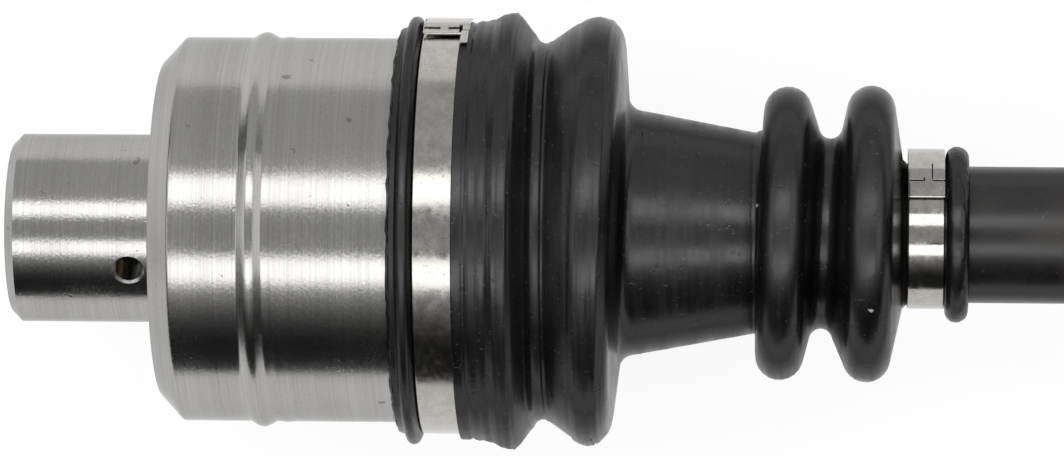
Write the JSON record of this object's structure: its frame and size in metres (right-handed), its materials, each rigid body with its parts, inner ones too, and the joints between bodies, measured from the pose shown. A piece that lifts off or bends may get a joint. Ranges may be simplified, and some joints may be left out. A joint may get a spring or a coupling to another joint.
{
  "type": "drive shaft",
  "caption": "Front drive shaft with a plunging tripod joint and splined sleeve at one end, a fixed ball joint and threaded stub at the other, and folded rubber boots.",
  "frame": {"origin": "on the shaft's axis, in the mouth plane of the splined sleeve at the gearbox end", "axes": "+X along the shaft from the gearbox end to the wheel end; the joints bend in the XY plane, so +Z is their hinge axis"},
  "size_m": [0.4952, 0.0908, 0.0908],
  "materials": {
    "machined_steel": "fine turned, satin",
    "cover_steel": "turned sheet steel, satin",
    "bell_steel": "forged and turned, satin",
    "hardened_steel": "ground, dark from hardening",
    "bearing_steel": "polished",
    "spring_steel": "oiled, dark",
    "clamp_steel": "bright rolled strip",
    "boot_rubber": "moulded, slightly satin",
    "seal_rubber": "smooth",
    "bar_paint": "black paint, satin",
    "plug_brass": "pressed sheet"
  },
  "bodies": {
    "inner_housing": {"inner_yoke": "machined_steel", "joint_cover": "cover_steel", "cover_seal_ring": "seal_rubber", "grease_plug": "plug_brass", "thrust_spring": "spring_steel", "inner_boot": "boot_rubber", "inner_boot_large_clamp": "clamp_steel"},
    "spring_cup": {"thrust_cup": "hardened_steel"},
    "shaft": {"tripod_spider": "hardened_steel", "roller_washers": "hardened_steel", "roller_snap_rings": "spring_steel", "spider_circlips": "spring_steel", "inner_boot_small_clamp": "clamp_steel", "drive_bar": "bar_paint", "inner_race": "hardened_steel", "race_circlip": "spring_steel", "race_stop_ring": "hardened_steel", "outer_boot_small_clamp": "clamp_steel"},
    "roller_1": {"tripod_roller_1": "bearing_steel", "roller_needles_1": "bearing_steel"},
    "roller_2": {"tripod_roller_2": "bearing_steel", "roller_needles_2": "bearing_steel"},
    "roller_3": {"tripod_roller_3": "bearing_steel", "roller_needles_3": "bearing_steel"},
    "cage": {"ball_cage": "hardened_steel", "joint_ball_1": "bearing_steel", "joint_ball_4": "bearing_steel"},
    "ball_2": {"joint_ball_2": "bearing_steel"},
    "ball_3": {"joint_ball_3": "bearing_steel"},
    "ball_5": {"joint_ball_5": "bearing_steel"},
    "ball_6": {"joint_ball_6": "bearing_steel"},
    "outer_bell": {"bell_and_stub": "bell_steel", "outer_boot": "boot_rubber", "outer_boot_large_clamp": "clamp_steel"}
  },
  "joints": [
    {"name": "plunge", "type": "slide", "parent": "inner_housing", "child": "spring_cup", "axis": [1, 0, 0], "range_m": [-0.012, 0.012], "deforming": ["thrust_spring", "inner_boot"]},
    {"name": "inner_tilt", "type": "hinge", "parent": "spring_cup", "child": "shaft", "pos_m": [0.0695, 0, 0], "axis": [0, 0, 1], "range_deg": [-16, 16], "deforming": ["inner_boot"]},
    {"name": "outer_tilt", "type": "hinge", "parent": "shaft", "child": "outer_bell", "pos_m": [0.4, 0, 0], "axis": [0, 0, 1], "range_deg": [-42, 42], "deforming": ["outer_boot"]},
    {"name": "cage_tilt", "type": "hinge", "parent": "shaft", "child": "cage", "pos_m": [0.4, 0, 0], "axis": [0, 0, 1], "range_deg": [-21.2, 21.2]},
    {"name": "ball_2_travel", "type": "hinge", "parent": "shaft", "child": "ball_2", "pos_m": [0.4, 0, 0], "axis": [0, -0.5, -0.866], "range_deg": [-18.5, 18.5]},
    {"name": "ball_3_travel", "type": "hinge", "parent": "shaft", "child": "ball_3", "pos_m": [0.4, 0, 0], "axis": [0, 0.5, -0.866], "range_deg": [-18.5, 18.5]},
    {"name": "ball_5_travel", "type": "hinge", "parent": "shaft", "child": "ball_5", "pos_m": [0.4, 0, 0], "axis": [0, 0.5, 0.866], "range_deg": [-18.5, 18.5]},
    {"name": "ball_6_travel", "type": "hinge", "parent": "shaft", "child": "ball_6", "pos_m": [0.4, 0, 0], "axis": [0, -0.5, 0.866], "range_deg": [-18.5, 18.5]},
    {"name": "roller_1_spin", "type": "hinge", "parent": "shaft", "child": "roller_1", "pos_m": [0.0695, 0, 0], "axis": [0, 0, 1], "continuous": true},
    {"name": "roller_2_spin", "type": "hinge", "parent": "shaft", "child": "roller_2", "pos_m": [0.0695, 0, 0], "axis": [0, -0.866, -0.5], "continuous": true},
    {"name": "roller_3_spin", "type": "hinge", "parent": "shaft", "child": "roller_3", "pos_m": [0.0695, 0, 0], "axis": [0, 0.866, -0.5], "continuous": true}
  ],
  "couplings": [
    {"joint": "cage_tilt", "follows": "outer_tilt", "ratio": 0.5},
    {"joint": "ball_2_travel", "follows": "outer_tilt", "ratio": -0.436},
    {"joint": "ball_3_travel", "follows": "outer_tilt", "ratio": -0.436},
    {"joint": "ball_5_travel", "follows": "outer_tilt", "ratio": 0.436},
    {"joint": "ball_6_travel", "follows": "outer_tilt", "ratio": 0.436}
  ]
}
